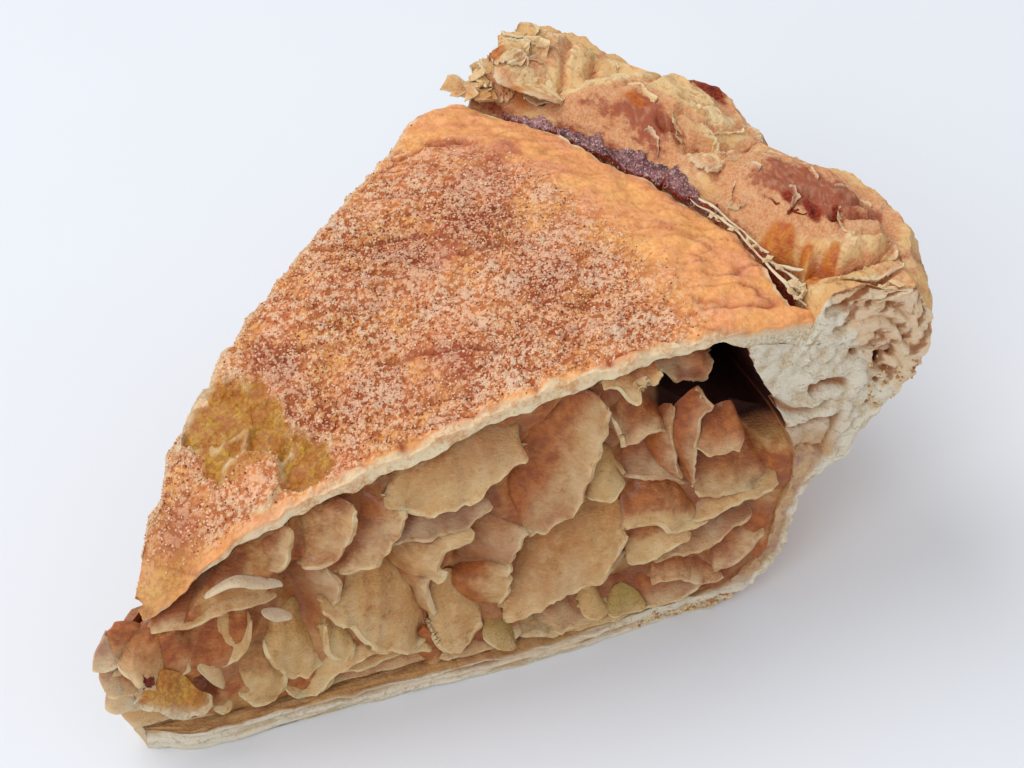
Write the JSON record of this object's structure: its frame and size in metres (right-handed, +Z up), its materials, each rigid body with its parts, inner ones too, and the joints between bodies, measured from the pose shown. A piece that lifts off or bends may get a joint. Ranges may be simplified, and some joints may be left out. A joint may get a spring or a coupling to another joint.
{
  "type": "apple pie slice",
  "caption": "Wedge of deep apple pie: domed, sugared top crust, crimped pastry rim and packed sliced apple showing at the cut faces.",
  "frame": {"origin": "middle of the slice's footprint, on the surface that it stands on", "axes": "+X from the tip towards the crimped rim, +Z up, -Y towards the near cut face"},
  "size_m": [0.1221, 0.0908, 0.059],
  "materials": {
    "pastry": "pale flaky baked pastry, matte",
    "browned_crust": "golden-brown baked crust with grains of sugar, matte",
    "cooked_apple": "moist cooked apple in its juice, soft gloss"
  },
  "bodies": {
    "root": {"bottom_crust": "pastry", "top_crust": "browned_crust", "apple_filling": "cooked_apple"}
  },
  "joints": []
}
